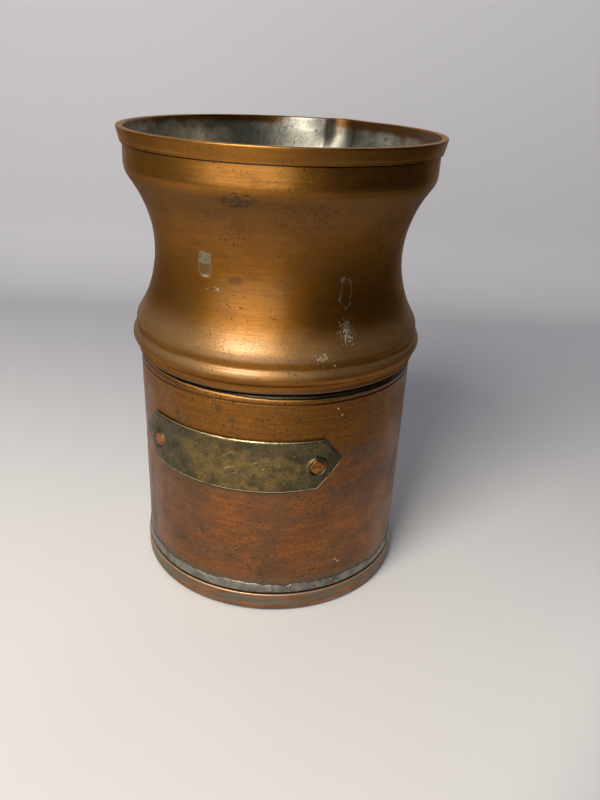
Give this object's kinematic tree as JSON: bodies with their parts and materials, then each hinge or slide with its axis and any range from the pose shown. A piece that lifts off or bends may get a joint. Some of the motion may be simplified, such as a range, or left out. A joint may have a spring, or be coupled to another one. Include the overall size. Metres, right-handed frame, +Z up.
{
  "type": "copper pot",
  "caption": "Handleless copper pouring pot: straight can soldered to a waisted, beaded neck with a hooped flared mouth, a pouring lip and a pointed brass strip riveted to the front.",
  "frame": {"origin": "centre of the flat underside of the base pan, on the pot's axis", "axes": "+Z up the pot's axis, -Y out midway between the brass strip's two rivets, +X to the strip's right as it is looked at"},
  "size_m": [0.1024, 0.1054, 0.151],
  "materials": {
    "pan_copper": "rubbed copper with solder smears",
    "solder": "dull grey soft solder",
    "can_copper": "blotched red-brown copper, tinned inside",
    "braze": "filed brass braze",
    "neck_copper": "golden-brown spun copper, tinned inside",
    "rim_copper": "golden-brown copper with a rubbed edge",
    "plate_brass": "tarnished olive brass with bright edges",
    "rivet_copper": "hammered copper"
  },
  "bodies": {
    "root": {"base_pan": "pan_copper", "base_solder": "solder", "can_wall": "can_copper", "side_seam": "braze", "neck_solder": "solder", "neck_shell": "neck_copper", "rim_band": "rim_copper", "front_plate": "plate_brass", "plate_rivet_left": "rivet_copper", "plate_rivet_right": "rivet_copper"}
  },
  "joints": []
}
